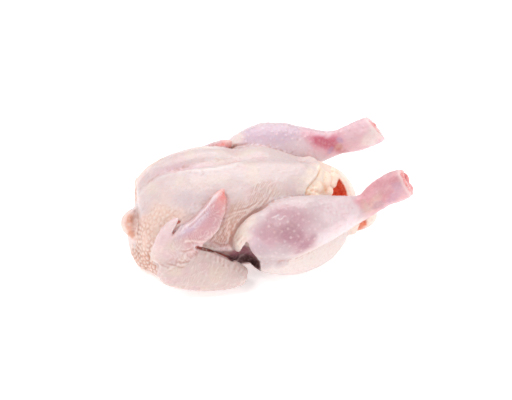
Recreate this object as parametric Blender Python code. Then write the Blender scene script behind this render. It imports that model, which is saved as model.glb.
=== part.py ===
"""A whole raw chicken, plucked and drawn, lying on its back with the breast up.

Metres, +Z up. It rests at z = 0, X runs from the neck to the tail, and the bird's right side is at -Y.
"""

import math

import bmesh
import bpy
import numpy as np

# Driving dimensions of the trunk, from the neck opening to the vent
TRUNK_START = -0.118
TRUNK_LENGTH = 0.173
TRUNK_HALF_WIDTH = 0.064
BREAST_HEIGHT = 0.090
GROOVE_HALF_WIDTH = 0.011
BELLY_START = 0.000
BELLY_LENGTH = 0.094
BELLY_HALF_WIDTH = 0.046
BELLY_HEIGHT = 0.0765

# Joints of the right leg and wing, on the side at -Y
HIP = (0.068, -0.024, 0.026)
THIGH_MIDDLE = (0.028, -0.046, 0.024)
KNEE = (-0.020, -0.064, 0.038)
CALF = (0.020, -0.065, 0.055)
ANKLE = (0.083, -0.054, 0.066)
HOCK = (0.127, -0.049, 0.081)
KNEE_FOLD_TOP = (-0.008, -0.061, 0.048)
KNEE_FOLD_TIP = (-0.024, -0.070, 0.021)
SHOULDER = (-0.094, -0.044, 0.024)
UPPER_ARM = (-0.070, -0.060, 0.018)
ELBOW = (-0.021, -0.075, 0.014)
FOREARM = (-0.058, -0.075, 0.0245)
WRIST = (-0.094, -0.068, 0.035)
HAND_ROOT = (-0.085, -0.069, 0.046)
HAND = (-0.057, -0.065, 0.065)
WING_TIP = (-0.036, -0.043, 0.086)
THUMB_ROOT = (-0.093, -0.068, 0.046)
THUMB_TIP = (-0.0765, -0.060, 0.0695)

# The neck skin, the tail and the mouth of the body cavity
NECK_SKIN = ((-0.110, -0.004, 0.050), (-0.119, -0.012, 0.036), (-0.113, -0.022, 0.020))
TAIL = ((0.066, 0.000, 0.022), (0.092, -0.003, 0.017), (0.113, -0.004, 0.020))
CAVITY = (
    (0.083, -0.034, 0.078),
    (0.0735, -0.0240, 0.062),
    (0.0650, -0.0160, 0.046),
    (0.0440, -0.0040, 0.038),
    (0.010, 0.000, 0.038),
)
FAT_LUMPS = (
    (0.059, -0.014, 0.0740, 0.0075),
    (0.051, -0.025, 0.0715, 0.0080),
    (0.043, -0.033, 0.0670, 0.0070),
    (0.036, -0.039, 0.0610, 0.0060),
    (0.063, 0.006, 0.0730, 0.0070),
    (0.054, 0.026, 0.0690, 0.0085),
    (0.045, 0.036, 0.0630, 0.0070),
)

# Where the left side differs from a mirror image
LEFT_LEG_SHIFT = (-0.005, 0.0, 0.0005)
LEFT_WING_SHIFT = (0.020, 0.005, -0.0035)

# The largest half width of each limb
THIGH_RADIUS = 0.027
DRUM_RADIUS = 0.0245
LEFT_DRUM_RADIUS = 0.0260
UPPER_ARM_RADIUS = 0.017
FOREARM_RADIUS = 0.021
HAND_RADIUS = 0.0145
THUMB_RADIUS = 0.0080
KNEE_FOLD_RADIUS = 0.013
NECK_SKIN_RADIUS = 0.007
TAIL_RADIUS = 0.016
CAVITY_RADIUS = 0.019

VOXEL = 0.0020
TRIANGLES = 10000

SKIN_COLOUR = (0.90, 0.72, 0.66, 1.0)
SKIN_ROUGHNESS = 0.45

# One row for each station of the trunk: share of its length, of the half width, of the height where the back
# and the breast lie and where it is widest, then the depth of the groove between the breasts, and how far
# the station leans towards the tail
BREAST = (
    (0.000, 0.38, 0.18, 0.50, 0.34, 0.000, 0.000),
    (0.042, 0.66, 0.06, 0.635, 0.36, 0.001, 0.000),
    (0.114, 0.85, 0.00, 0.78, 0.39, 0.003, 0.000),
    (0.208, 0.95, -0.03, 0.89, 0.43, 0.005, 0.000),
    (0.335, 1.00, -0.05, 0.970, 0.47, 0.006, 0.000),
    (0.467, 1.00, -0.05, 0.998, 0.50, 0.006, 0.000),
    (0.600, 0.97, -0.05, 1.000, 0.51, 0.005, 0.001),
    (0.740, 0.92, -0.05, 0.990, 0.50, 0.003, 0.003),
    (0.850, 0.84, -0.05, 0.960, 0.49, 0.001, 0.006),
    (0.930, 0.72, -0.03, 0.925, 0.48, 0.000, 0.009),
    (0.975, 0.58, 0.03, 0.885, 0.47, 0.000, 0.011),
    (1.000, 0.38, 0.14, 0.830, 0.46, 0.000, 0.012),
)
BELLY = (
    (0.00, 1.00, -0.03, 0.88, 0.52, 0.0, 0.0),
    (0.35, 0.99, -0.03, 0.97, 0.52, 0.0, 0.0),
    (0.60, 0.90, -0.03, 1.00, 0.50, 0.0, 0.0),
    (0.76, 0.76, -0.01, 0.94, 0.50, 0.0, 0.0),
    (0.87, 0.64, 0.06, 0.86, 0.49, 0.0, 0.0),
    (0.94, 0.52, 0.14, 0.77, 0.47, 0.0, 0.0),
    (0.98, 0.38, 0.22, 0.68, 0.46, 0.0, 0.0),
    (1.00, 0.18, 0.32, 0.56, 0.44, 0.0, 0.0),
)

# One row for each station of a limb: share of its length, then its half width and half thickness as
# shares of the limb's radius
THIGH = (
    (0.00, 0.70, 0.70),
    (0.25, 0.98, 0.95),
    (0.50, 1.00, 1.00),
    (0.72, 0.93, 0.92),
    (0.90, 0.72, 0.75),
    (1.00, 0.40, 0.40),
)
DRUM = (
    (0.00, 0.30, 0.30),
    (0.04, 0.62, 0.62),
    (0.12, 0.88, 0.85),
    (0.24, 1.04, 0.98),
    (0.35, 1.01, 0.95),
    (0.46, 0.87, 0.83),
    (0.56, 0.69, 0.66),
    (0.65, 0.53, 0.50),
    (0.72, 0.46, 0.44),
    (0.79, 0.49, 0.48),
    (0.87, 0.56, 0.56),
    (0.95, 0.58, 0.58),
    (1.00, 0.51, 0.51),
    (1.00, 0.36, 0.36),
    (0.98, 0.20, 0.20),
)
UPPER_ARM_SHAPE = ((0.0, 1.0, 1.0), (0.35, 1.15, 1.0), (0.7, 0.95, 0.85), (1.0, 0.5, 0.5))
FOREARM_SHAPE = (
    (0.00, 0.35, 0.30),
    (0.10, 0.58, 0.46),
    (0.40, 0.86, 0.48),
    (0.78, 1.04, 0.50),
    (0.93, 0.90, 0.48),
    (1.00, 0.60, 0.40),
)
HAND_SHAPE = (
    (0.00, 0.90, 0.70),
    (0.20, 0.98, 0.64),
    (0.50, 0.95, 0.48),
    (0.75, 0.70, 0.36),
    (0.92, 0.36, 0.26),
    (1.00, 0.15, 0.15),
)
THUMB_SHAPE = ((0.0, 1.0, 1.0), (0.5, 0.95, 0.75), (0.85, 0.60, 0.5), (1.0, 0.25, 0.25))
KNEE_FOLD_SHAPE = ((0.0, 0.9, 0.7), (0.4, 1.0, 0.65), (0.75, 0.65, 0.4), (1.0, 0.15, 0.15))
NECK_SKIN_SHAPE = ((0.0, 0.6, 0.5), (0.5, 1.0, 0.75), (1.0, 0.5, 0.5))
TAIL_SHAPE = ((0.0, 1.3, 1.0), (0.4, 1.2, 0.80), (0.75, 0.92, 0.60), (0.93, 0.70, 0.45), (1.0, 0.40, 0.25))
CAVITY_SHAPE = (
    (0.00, 0.86, 0.46),
    (0.18, 0.86, 0.48),
    (0.40, 0.90, 0.78),
    (0.60, 0.96, 0.88),
    (0.88, 0.90, 0.88),
    (1.00, 0.30, 0.30),
)


def through(rows, count):
    """Rows of numbers spread evenly along a smooth curve through the given rows."""
    rows = np.array(rows, float)
    rows = np.vstack([2 * rows[0] - rows[1], rows, 2 * rows[-1] - rows[-2]])
    at = np.linspace(0, len(rows) - 3, count)
    i = np.minimum(at.astype(int), len(rows) - 4)
    t = (at - i)[:, None]
    a, b, c, d = (rows[i + k] for k in range(4))
    return 0.5 * (2 * b + (c - a) * t + (2 * a - 5 * b + 4 * c - d) * t**2 + (3 * b - a - 3 * c + d) * t**3)


def closed_skin(rings):
    """A closed mesh through rings of points, with both ends closed."""
    mesh = bmesh.new()
    rows = [[mesh.verts.new(p) for p in ring] for ring in rings]
    for one, two in zip(rows, rows[1:]):
        for k in range(len(one)):
            mesh.faces.new((one[k - 1], two[k - 1], two[k], one[k]))
    for row in (rows[0], rows[-1]):
        mesh.faces.new(row)
    bmesh.ops.triangulate(mesh, faces=[f for f in mesh.faces if len(f.verts) > 4])
    bmesh.ops.recalc_face_normals(mesh, faces=mesh.faces)
    return mesh


def limb(joints, shape, radius, facing, rings=40, sides=28):
    """Rings of a limb along its joints. Its flatter side looks towards facing."""
    path = through(joints, 200)
    length = np.concatenate([[0], np.cumsum(np.linalg.norm(np.diff(path, axis=0), axis=1))])
    table = through(shape, rings)
    along_by = table[:, 0] * length[-1]
    centre = np.stack([np.interp(along_by, length, path[:, k]) for k in range(3)], axis=1)
    tangent = np.gradient(path, axis=0)
    along = np.stack([np.interp(along_by, length, tangent[:, k]) for k in range(3)], axis=1)
    across = np.cross(along, np.array(facing, float))
    across /= np.linalg.norm(across, axis=1)[:, None]
    outward = np.cross(across, along)
    outward /= np.linalg.norm(outward, axis=1)[:, None]
    turn = np.linspace(0, 2 * math.pi, sides, endpoint=False)
    wide = np.outer(table[:, 1], np.cos(turn))[:, :, None] * across[:, None, :] * radius
    thick = np.outer(table[:, 2], np.sin(turn))[:, :, None] * outward[:, None, :] * radius
    return centre[:, None, :] + wide + thick


def trunk(table, start, length, half_width, height, rings=44, sides=64):
    """Rings of the breast or the belly, flat below, rounded above and widest at the sides."""
    turn = np.linspace(0, 2 * math.pi, sides, endpoint=False)
    cos, sin = np.cos(turn), np.sin(turn)
    made = []
    for share, width, low, top, widest, groove, lean in through(table, rings):
        y = np.sign(cos) * np.abs(cos) ** 0.82 * width * half_width
        above = (top - widest) * height * np.abs(sin) ** 0.86
        below = (widest - low) * height * np.abs(sin) ** 0.80
        z = widest * height + np.where(sin > 0, above, -below)
        z -= np.where(sin > 0, groove * np.exp(-((y / GROOVE_HALF_WIDTH) ** 2)), 0)
        x = start + share * length + lean * (z / height - 0.5) * 2
        made.append(np.stack([x, y, z], axis=1))
    return made


def on_left(point, shift):
    """The match on the left side of a point on the right side, with that side's own shift."""
    return (point[0] + shift[0], -point[1] + shift[1], point[2] + shift[2])


def leg(left):
    def at(*joints):
        return [on_left(point, LEFT_LEG_SHIFT) if left else point for point in joints]

    outward = (0, 1 if left else -1, 0.3)
    drum_radius = LEFT_DRUM_RADIUS if left else DRUM_RADIUS
    return [
        limb(at(HIP, THIGH_MIDDLE, KNEE), THIGH, THIGH_RADIUS, outward),
        limb(at(KNEE, CALF, ANKLE, HOCK), DRUM, drum_radius, outward, rings=60),
        limb(at(KNEE_FOLD_TOP, KNEE_FOLD_TIP), KNEE_FOLD_SHAPE, KNEE_FOLD_RADIUS, outward, rings=20),
    ]


def wing(left):
    def at(*joints):
        return [on_left(point, LEFT_WING_SHIFT) if left else point for point in joints]

    side = 1 if left else -1
    return [
        limb(at(SHOULDER, UPPER_ARM, ELBOW), UPPER_ARM_SHAPE, UPPER_ARM_RADIUS, (0, side, 0.3)),
        limb(at(ELBOW, FOREARM, WRIST), FOREARM_SHAPE, FOREARM_RADIUS, (0, side, 0.4)),
        limb(at(WRIST, HAND_ROOT, HAND, WING_TIP), HAND_SHAPE, HAND_RADIUS, (0, side, 0.8)),
        limb(at(WRIST, THUMB_ROOT, THUMB_TIP), THUMB_SHAPE, THUMB_RADIUS, (0, side, 0.5)),
    ]


def lump(x, y, z, radius, rings=10, sides=14):
    """Rings of a small ball of fat."""
    made = []
    for turn in np.linspace(0.15, math.pi - 0.15, rings):
        around = np.linspace(0, 2 * math.pi, sides, endpoint=False)
        across = radius * math.sin(turn)
        level = np.full(sides, z + radius * math.cos(turn))
        made.append(np.stack([np.cos(around) * across + x, np.sin(around) * across + y, level], axis=1))
    return made


def clear_scene():
    for old in list(bpy.data.objects):
        bpy.data.objects.remove(old)


def material(name, colour, roughness):
    made = bpy.data.materials.new(name)
    made.use_nodes = True
    shader = made.node_tree.nodes["Principled BSDF"]
    shader.inputs["Base Color"].default_value = colour
    shader.inputs["Roughness"].default_value = roughness
    made.diffuse_color = colour
    return made


def object_of(name, pieces):
    """One object that holds each piece's closed skin."""
    whole = bmesh.new()
    spare = bpy.data.meshes.new("spare")
    for rings in pieces:
        piece = closed_skin(rings)
        piece.to_mesh(spare)
        piece.free()
        whole.from_mesh(spare)
    bpy.data.meshes.remove(spare)
    mesh = bpy.data.meshes.new(name)
    whole.to_mesh(mesh)
    whole.free()
    made = bpy.data.objects.new(name, mesh)
    bpy.context.scene.collection.objects.link(made)
    return made


def apply_modifiers(made):
    bpy.context.view_layer.update()
    evaluated = made.evaluated_get(bpy.context.evaluated_depsgraph_get())
    mesh = bpy.data.meshes.new_from_object(evaluated)
    made.modifiers.clear()
    made.data = mesh


def fused_bird():
    """The trunk, legs, wings, neck skin, tail and fat under one skin."""
    breast = trunk(BREAST, TRUNK_START, TRUNK_LENGTH, TRUNK_HALF_WIDTH, BREAST_HEIGHT)
    belly = trunk(BELLY, BELLY_START, BELLY_LENGTH, BELLY_HALF_WIDTH, BELLY_HEIGHT)
    neck_skin = limb(NECK_SKIN, NECK_SKIN_SHAPE, NECK_SKIN_RADIUS, (-1, 0, 0), rings=16)
    tail = limb(TAIL, TAIL_SHAPE, TAIL_RADIUS, (0, 0, 1), rings=20)
    fat = [lump(*row) for row in FAT_LUMPS]
    limbs = [*leg(False), *leg(True), *wing(False), *wing(True)]
    bird = object_of("chicken", [breast, belly, neck_skin, tail, *fat, *limbs])
    fuse = bird.modifiers.new("one skin", "REMESH")
    fuse.mode = "VOXEL"
    fuse.voxel_size = VOXEL
    soften = bird.modifiers.new("soft folds", "SMOOTH")
    soften.factor = 0.5
    soften.iterations = 4
    apply_modifiers(bird)
    return bird


def open_cavity(bird):
    """The body cavity, open at its mouth between the legs."""
    cutter = object_of("cavity", [limb(CAVITY, CAVITY_SHAPE, CAVITY_RADIUS, (1, 0, 0.3))])
    cut = bird.modifiers.new("cavity", "BOOLEAN")
    cut.operation = "DIFFERENCE"
    cut.solver = "EXACT"
    cut.object = cutter
    apply_modifiers(bird)
    bpy.data.objects.remove(cutter)


def simplify(bird):
    count = sum(len(face.vertices) - 2 for face in bird.data.polygons)
    fewer = bird.modifiers.new("fewer faces", "DECIMATE")
    fewer.ratio = TRIANGLES / count
    fewer.use_collapse_triangulate = True
    apply_modifiers(bird)


def lay_down(bird):
    """Flat where the bird lies, with its origin below the middle of its box."""
    mesh = bird.data
    points = np.empty(len(mesh.vertices) * 3)
    mesh.vertices.foreach_get("co", points)
    points = points.reshape(-1, 3)
    points[:, 2] = np.maximum(points[:, 2], 0)
    points[:, :2] -= (points[:, :2].min(axis=0) + points[:, :2].max(axis=0)) / 2
    mesh.vertices.foreach_set("co", points.ravel())
    mesh.update()


def main():
    clear_scene()
    bird = fused_bird()
    open_cavity(bird)
    simplify(bird)
    lay_down(bird)
    bird.data.materials.clear()
    bird.data.materials.append(material("skin", SKIN_COLOUR, SKIN_ROUGHNESS))
    bird.data.shade_smooth()


main()
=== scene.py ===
"""A whole raw chicken, plucked and drawn, lying on its back with the breast up."""

import math

import bmesh
import bpy
import numpy as np
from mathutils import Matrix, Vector, kdtree


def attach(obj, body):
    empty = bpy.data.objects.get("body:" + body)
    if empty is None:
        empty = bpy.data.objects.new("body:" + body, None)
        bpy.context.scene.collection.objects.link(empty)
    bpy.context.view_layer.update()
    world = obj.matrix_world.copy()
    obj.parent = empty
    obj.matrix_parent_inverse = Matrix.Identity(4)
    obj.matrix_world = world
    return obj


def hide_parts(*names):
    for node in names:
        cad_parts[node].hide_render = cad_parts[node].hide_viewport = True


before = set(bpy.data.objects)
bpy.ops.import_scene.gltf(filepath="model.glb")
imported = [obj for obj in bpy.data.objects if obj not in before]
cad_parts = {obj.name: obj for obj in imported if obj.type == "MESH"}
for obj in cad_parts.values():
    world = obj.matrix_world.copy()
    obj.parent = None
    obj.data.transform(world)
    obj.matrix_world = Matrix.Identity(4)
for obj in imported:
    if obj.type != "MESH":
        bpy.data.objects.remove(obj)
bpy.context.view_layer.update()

# Trunk. The breast with its keel, the back and the belly, all meat on the bone. It is two lofted forms that
# overlap between the legs, rounded above and flat below, where the bird lies on its back.
TRUNK_START, TRUNK_LENGTH, TRUNK_HALF_WIDTH, BREAST_HEIGHT = -0.118, 0.173, 0.064, 0.090
BELLY_START, BELLY_LENGTH, BELLY_HALF_WIDTH, BELLY_HEIGHT = 0.0, 0.0928, 0.046, 0.0728
GROOVE_HALF_WIDTH, GROOVE_SIDE = 0.0085, 0.0045

# Rows of the trunk: share of its length, of the half width, of the height at the back, at the breast and
# where it is widest, then the depth of the breast groove and how far the row leans towards the tail
BREAST = (
    (0, 0.38, 0.06, 0.5, 0.3, 0, 0),
    (0.042, 0.68, -0.02, 0.635, 0.34, 0.001, 0),
    (0.114, 0.87, -0.04, 0.78, 0.38, 0.003, 0),
    (0.208, 0.95, -0.03, 0.89, 0.43, 0.005, 0),
    (0.335, 1, -0.05, 0.97, 0.47, 0.006, 0),
    (0.467, 1, -0.05, 0.998, 0.5, 0.006, 0),
    (0.6, 0.97, -0.05, 1, 0.51, 0.005, 0.001),
    (0.74, 0.92, -0.05, 0.99, 0.5, 0.003, 0.003),
    (0.85, 0.84, -0.05, 0.96, 0.49, 0.001, 0.006),
    (0.93, 0.72, -0.03, 0.925, 0.48, 0, 0.009),
    (0.975, 0.58, 0.03, 0.885, 0.47, 0, 0.011),
    (1, 0.38, 0.14, 0.83, 0.46, 0, 0.012),
)
BELLY = (
    (0, 1, -0.03, 0.88, 0.52, 0, 0),
    (0.35, 0.99, -0.03, 0.97, 0.52, 0, 0),
    (0.6, 0.9, -0.03, 1, 0.5, 0, 0),
    (0.76, 0.76, -0.01, 0.94, 0.5, 0, 0),
    (0.87, 0.64, 0.06, 0.86, 0.49, 0, 0),
    (0.94, 0.52, 0.14, 0.77, 0.47, 0, 0),
    (0.98, 0.38, 0.22, 0.68, 0.46, 0, 0),
    (1, 0.18, 0.32, 0.56, 0.44, 0, 0),
)
# The keel line and the groove beside it, and the edge in which the skin of the breast ends over the vent.
# All places, paths, limbs, folds and patches are in millimetres, on the bird's right side where it has two.
KEEL = (
    (-102.9, -6.6, 65.9), (-94.1, -0.5, 71.2), (-81.8, 0.5, 78), (-66.7, -7.2, 84.5), (-52.4, -14, 88.2),
    (-40, -15.5, 89.2), (-29, -14, 89.5), (-18, -7, 88), (-8, 2, 86), (4, 8, 84),
)
KEEL_GROOVE = (
    (-107.7, 2, 58.1), (-103.7, 5, 64), (-94.8, 10.2, 69.4), (-82.7, 11, 76.3), (-64.9, 6, 81),
    (-46.7, -2, 86.5), (-30, -1, 86.5), (-18, 6, 84), (-6, 13, 83),
)
SKIN_EDGE = (
    (36, 46, 61), (45.5, 33, 69), (54, 19, 75), (58, -1, 79), (53, -18.5, 80), (45.5, -30.5, 77.5),
    (38.5, -39, 74.5), (36, -46, 70),
)
# Where the skin is cobbled at the shoulders, and where it is drawn into strands by the knees
SHOULDER = ((-104, -46, 46), (-100, -52, 24), (-113.5, -34.5, 38), (-92, -50, 62), (-109, -41, 18))
DRAWN = ((6, -44, 79), (-4, -52, 74), (-20, -57, 69), (-34, -62, 58), (-34, -64, 46), (-46, -62, 52))
# Patches of colour: size, strength, tint, seed and places
TRUNK_PATCHES = (
    (9.5, 0.7, (248, 226, 212), 62, ((44, -32, 78), (38, -38.5, 75.2), (50, -23, 80), (56, -9, 81))),
    # Tan skin and painted shade on the side between the wing and the knee
    (17, 0.9, (190, 138, 122), 51, (
        (-33, -63, 50), (-38, -64, 45), (-30, -66, 38), (-34.5, -62.5, 57), (-29.5, -58, 63),
    )),
    (11, 0.45, (208, 174, 158), 53, ((-6, -52, 73), (-22, -57, 68), (-30, -58, 64))),
    (9, 0.7, (196, 150, 160), 54, ((-40, -65, 37), (-50, -66.5, 41.5), (-28, -65, 38))),
)


def ease(value, low, high):
    """0 below low and 1 above high, with a soft step between them."""
    t = np.clip((value - low) / (high - low), 0, 1)
    return t * t * (3 - 2 * t)


def bell(value, width):
    """1 where the value is 0, falling off softly on both sides."""
    return np.exp(-((value / width) ** 2))


def through(rows, count):
    """Rows of numbers spread evenly along a smooth curve through the given rows."""
    rows = np.array(rows, float)
    rows = np.vstack([2 * rows[0] - rows[1], rows, 2 * rows[-1] - rows[-2]])
    at = np.linspace(0, len(rows) - 3, count)
    i = np.minimum(at.astype(int), len(rows) - 4)
    t = (at - i)[:, None]
    a, b, c, d = (rows[i + k] for k in range(4))
    return 0.5 * (2 * b + (c - a) * t + (2 * a - 5 * b + 4 * c - d) * t**2 + (3 * b - a - 3 * c + d) * t**3)


def as_it_lies(x, y, z):
    """The breast's far side, drawn back at the neck and sunk in behind the wing tip and towards the vent."""
    neck = ease(-x, 0.106, 0.116) * ease(z, 0.010, 0.030)
    x = x + neck * (0.005 + 0.005 * ease(y, -0.004, 0.020))
    sunk = 0.002 * ease(x, -0.05, -0.03) + 0.0075 * ease(x, 0.004, 0.042) * (1 - 0.65 * ease(x, 0.044, 0.056))
    dip = 0.0042 * bell(x + 0.0136, 0.010) * ease(y, 0.002, 0.022)
    return x, y, z - (sunk * ease(y, -0.012, 0.012) + dip) * ease(z, 0.045, 0.070)


def trunk(table, start, length, half_width, height, lie=lambda *spot: spot, rings=60, sides=80):
    """Rings of the breast or the belly, flat below, rounded above and widest at the sides."""
    turn = np.linspace(0, 2 * math.pi, sides, endpoint=False)
    cos, sin = np.cos(turn), np.sin(turn)
    made = []
    for share, width, low, top, widest, groove, lean in through(table, rings):
        y = np.sign(cos) * np.abs(cos) ** 0.82 * width * half_width
        above = (top - widest) * height * np.abs(sin) ** 0.86
        below = (widest - low) * height * np.abs(sin) ** 0.80
        z = widest * height + np.where(sin > 0, above, -below)
        z -= np.where(sin > 0, groove * bell(y - GROOVE_SIDE, GROOVE_HALF_WIDTH), 0)
        x = start + share * length + lean * (z / height - 0.5) * 2
        made.append(np.stack(lie(x, y, z), axis=1))
    return made


# Legs. Thigh and drumstick, muscle on the bone under thin skin, cut off at the hock, with a fold of loose
# skin at the knee. Each is lofted along its bones, and the left leg is the right one laid over and shifted.
SIDES = ("right", "left")
LEFT_LEG_SHIFT = (-5, 0, 0.5)
LEFT_DRUM_SHIFTS = ((5, 0, 7), (0, 0, 4), (0, 0, 5), (2.5, 0, 2))
RIGHT_SHANK = (104.5, -52, 74.2)

# Rows of a limb: share of its length, then half width and half thickness as shares of its radius
THIGH = ((0.0, 0.7, 0.7), (0.25, 0.98, 0.95), (0.5, 1, 1), (0.72, 0.93, 0.92), (0.9, 0.72, 0.75), (1, 0.4, 0.4))
DRUM = (
    (0, 0.3, 0.3), (0.04, 0.62, 0.62), (0.12, 0.88, 0.85), (0.24, 1.04, 0.98), (0.35, 1.01, 0.95),
    (0.46, 0.87, 0.83), (0.56, 0.69, 0.66), (0.65, 0.53, 0.5), (0.72, 0.45, 0.43), (0.79, 0.5, 0.48),
    (0.87, 0.535, 0.53), (0.94, 0.545, 0.54), (1, 0.49, 0.49), (1.05, 0.45, 0.45),
)
KNEE_FOLD = ((0, 1.0, 1.0), (0.3, 1.1, 1.0), (0.6, 0.98, 0.85), (0.85, 0.68, 0.6), (1, 0.25, 0.3))
# The joints on the right side, the shape, the radius on the right and on the left, and the count of rings
LEG = {
    "thigh": (((68, -24, 26), (28, -46, 24), (-20, -64, 38)), THIGH, (27, 27), 40),
    "drum": (((-20, -64, 38), (20, -65, 53.5), (83, -54, 60.8), (129, -49.5, 80.5)), DRUM, (24.5, 26), 60),
    "knee_fold": (((3, -68, 62), (-12.5, -66.5, 52.5), (-27.5, -66.5, 36.5)), KNEE_FOLD, (12, 12), 24),
}
# Folds of the skin: width, height, how strongly they are tinted, their tint, and their path. The tints of
# creases, whose height is negative, are painted shade, and the light tints of raised folds are pale skin with a
# painted highlight
LEG_FOLDS = (
    (1.3, -1.6, 0.6, (196, 140, 122), (
        (-29.5, -62.5, 32.5), (-32.5, -63.5, 42), (-29.5, -63, 51.5), (-24, -62, 60), (-14.5, -59, 66.5),
        (-4.5, -56, 70.5), (12, -49, 74.5),
    )),
    (0.9, 0.6, 0.6, (244, 226, 210), ((-21.5, -73, 55.5), (-25, -71.5, 49), (-28.5, -68, 42))),
    (0.6, 0.2, 0.25, (242, 222, 214), (
        (10, -33, 84.5), (6, -41, 81), (3.5, -46.5, 77), (-1.5, -51, 74), (-5.5, -54, 71), (-9.5, -57.5, 68),
    )),
    (0.6, 0.1, 0.2, (242, 222, 214), ((16.5, -33, 83.5), (11.5, -40.5, 80), (7, -47, 76.5), (1, -52.5, 73))),
    (0.6, 0.2, 0.25, (242, 222, 214), ((-11, -54.5, 71), (-7.5, -52.5, 73), (-2, -49, 76), (4, -42, 80.5))),
    (0.8, -0.2, 0.25, (210, 164, 148), (
        (13.5, -33, 84), (9, -41, 80.5), (5, -47, 76.5), (0, -52, 73.5), (-4, -55, 70.5),
    )),
    (0.8, -0.6, 0.35, (210, 164, 148), (
        (-6, -50.5, 75), (-13, -53, 71.5), (-20, -55, 70.5), (-28, -56.5, 69.5),
    )),
    # The last two folds are a painted wet glint: thin white lines on the drumstick, barely raised
    (0.5, 0.2, 0.6, (250, 244, 244), ((0.4, -74.6, 71.6), (4.6, -75.4, 73.3), (9.1, -74.7, 75.4))),
    (0.4, 0.2, 0.6, (250, 244, 244), (
        (4.6, -75.4, 73.3), (8.4, -78.8, 71.9), (12, -77.9, 74.1), (15, -78.8, 74.3),
    )),
)
# Patches of colour on the right leg, and on the left one in its own place
RIGHT_LEG_PATCHES = (
    (9, 0.75, (236, 217, 206), 30, ((-20, -72, 53), (-13, -67, 62.5), (-26, -70, 44))),
    (10, 0.7, (222, 192, 202), 49, ((-11.5, -79, 53), (-6.5, -82, 50), (-14, -78, 46))),
    (17.5, 0.8, (196, 149, 160), 31, (
        (0, -83, 60), (10, -86, 61), (19, -87, 56), (28, -85, 51), (22, -81, 70), (9, -78, 72),
    )),
    (12, 0.75, (170, 114, 130), 32, ((17, -87, 60.5), (23, -87, 57), (28.5, -86, 50))),
    (9, 0.35, (180, 142, 144), 36, ((6, -84.5, 64), (17, -85.5, 66.5))),
    # Painted shade, lilac grey, low on the thigh beside the pocket
    (13, 0.7, (192, 168, 174), 39, (
        (-8, -84, 44), (-2, -81, 33.5), (9, -80, 32), (8, -88, 43), (-7, -78.5, 29),
    )),
    (13, 0.8, (234, 218, 212), 33, (
        (30, -79, 31), (39, -71, 25), (50, -66, 28), (62.5, -56, 20), (46, -74, 34),
    )),
    (13, 0.65, (238, 219, 226), 37, ((62, -73, 48), (71, -69, 53), (54, -75, 42), (49, -79, 50))),
    (12.5, 0.65, (240, 219, 221), 55, (
        (52.5, -75, 70), (60, -70, 71), (67.5, -71, 64), (60, -77, 60), (68, -65.5, 73.5), (75.5, -67, 67),
    )),
    (8, 0.76, (226, 154, 164), 34, ((83, -59, 70.5), (89, -57.5, 73.5), (94.5, -52, 78.5), (100, -47.5, 82.5))),
    (8, 0.65, (222, 184, 170), 40, ((88, -61.5, 67), (95, -62, 69.5), (98.5, -62, 73.5))),
    (9, 0.75, (208, 138, 148), 38, ((103, -55, 84), (111, -57, 87), (107, -64, 77))),
    (6, 0.4, (196, 160, 184), 35, ((112.7, -64.7, 77), (109.4, -64.5, 72), (115.5, -63.4, 83))),
    (5, 0.55, (180, 128, 150), 48, ((101, -64, 69), (97.5, -63.5, 68))),
)
LEFT_LEG_PATCHES = (
    (16, 0.6, (204, 172, 194), 41, ((6, 58.5, 79), (18, 57.5, 81), (34, 57, 82))),
    (10, 0.8, (238, 220, 214), 50, ((-12, 61, 71), (-6, 62, 77))),
    (15, 0.6, (226, 160, 176), 44, ((68.5, 44.5, 73), (79, 42.2, 70), (60, 50, 78.5))),
    (8.5, 0.7, (214, 122, 142), 42, (
        (64, 46.3, 76.5), (68.5, 45, 74.5), (72.5, 44, 73.5), (76.5, 43.5, 74), (80.5, 43, 77.5),
    )),
    (6.6, 0.7, (194, 78, 102), 60, ((65, 45.8, 76.8), (69.5, 44.8, 75.8), (74, 44, 74.6), (78.5, 43.5, 73.2))),
    (4, 0.6, (180, 152, 184), 43, ((85.8, 42.7, 76.6), (76.5, 42.2, 67))),
    (5, 0.6, (206, 148, 124), 45, ((85, 41, 70),)),
    (5, 0.6, (196, 96, 104), 47, ((85, 41, 64), (90, 41, 64))),
    (10, 0.7, (240, 226, 220), 46, ((118, 36.5, 83.5), (121, 36, 88), (112, 37, 76))),
)
PATH_STEPS = 200
END_SLACK = 0.004


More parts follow.
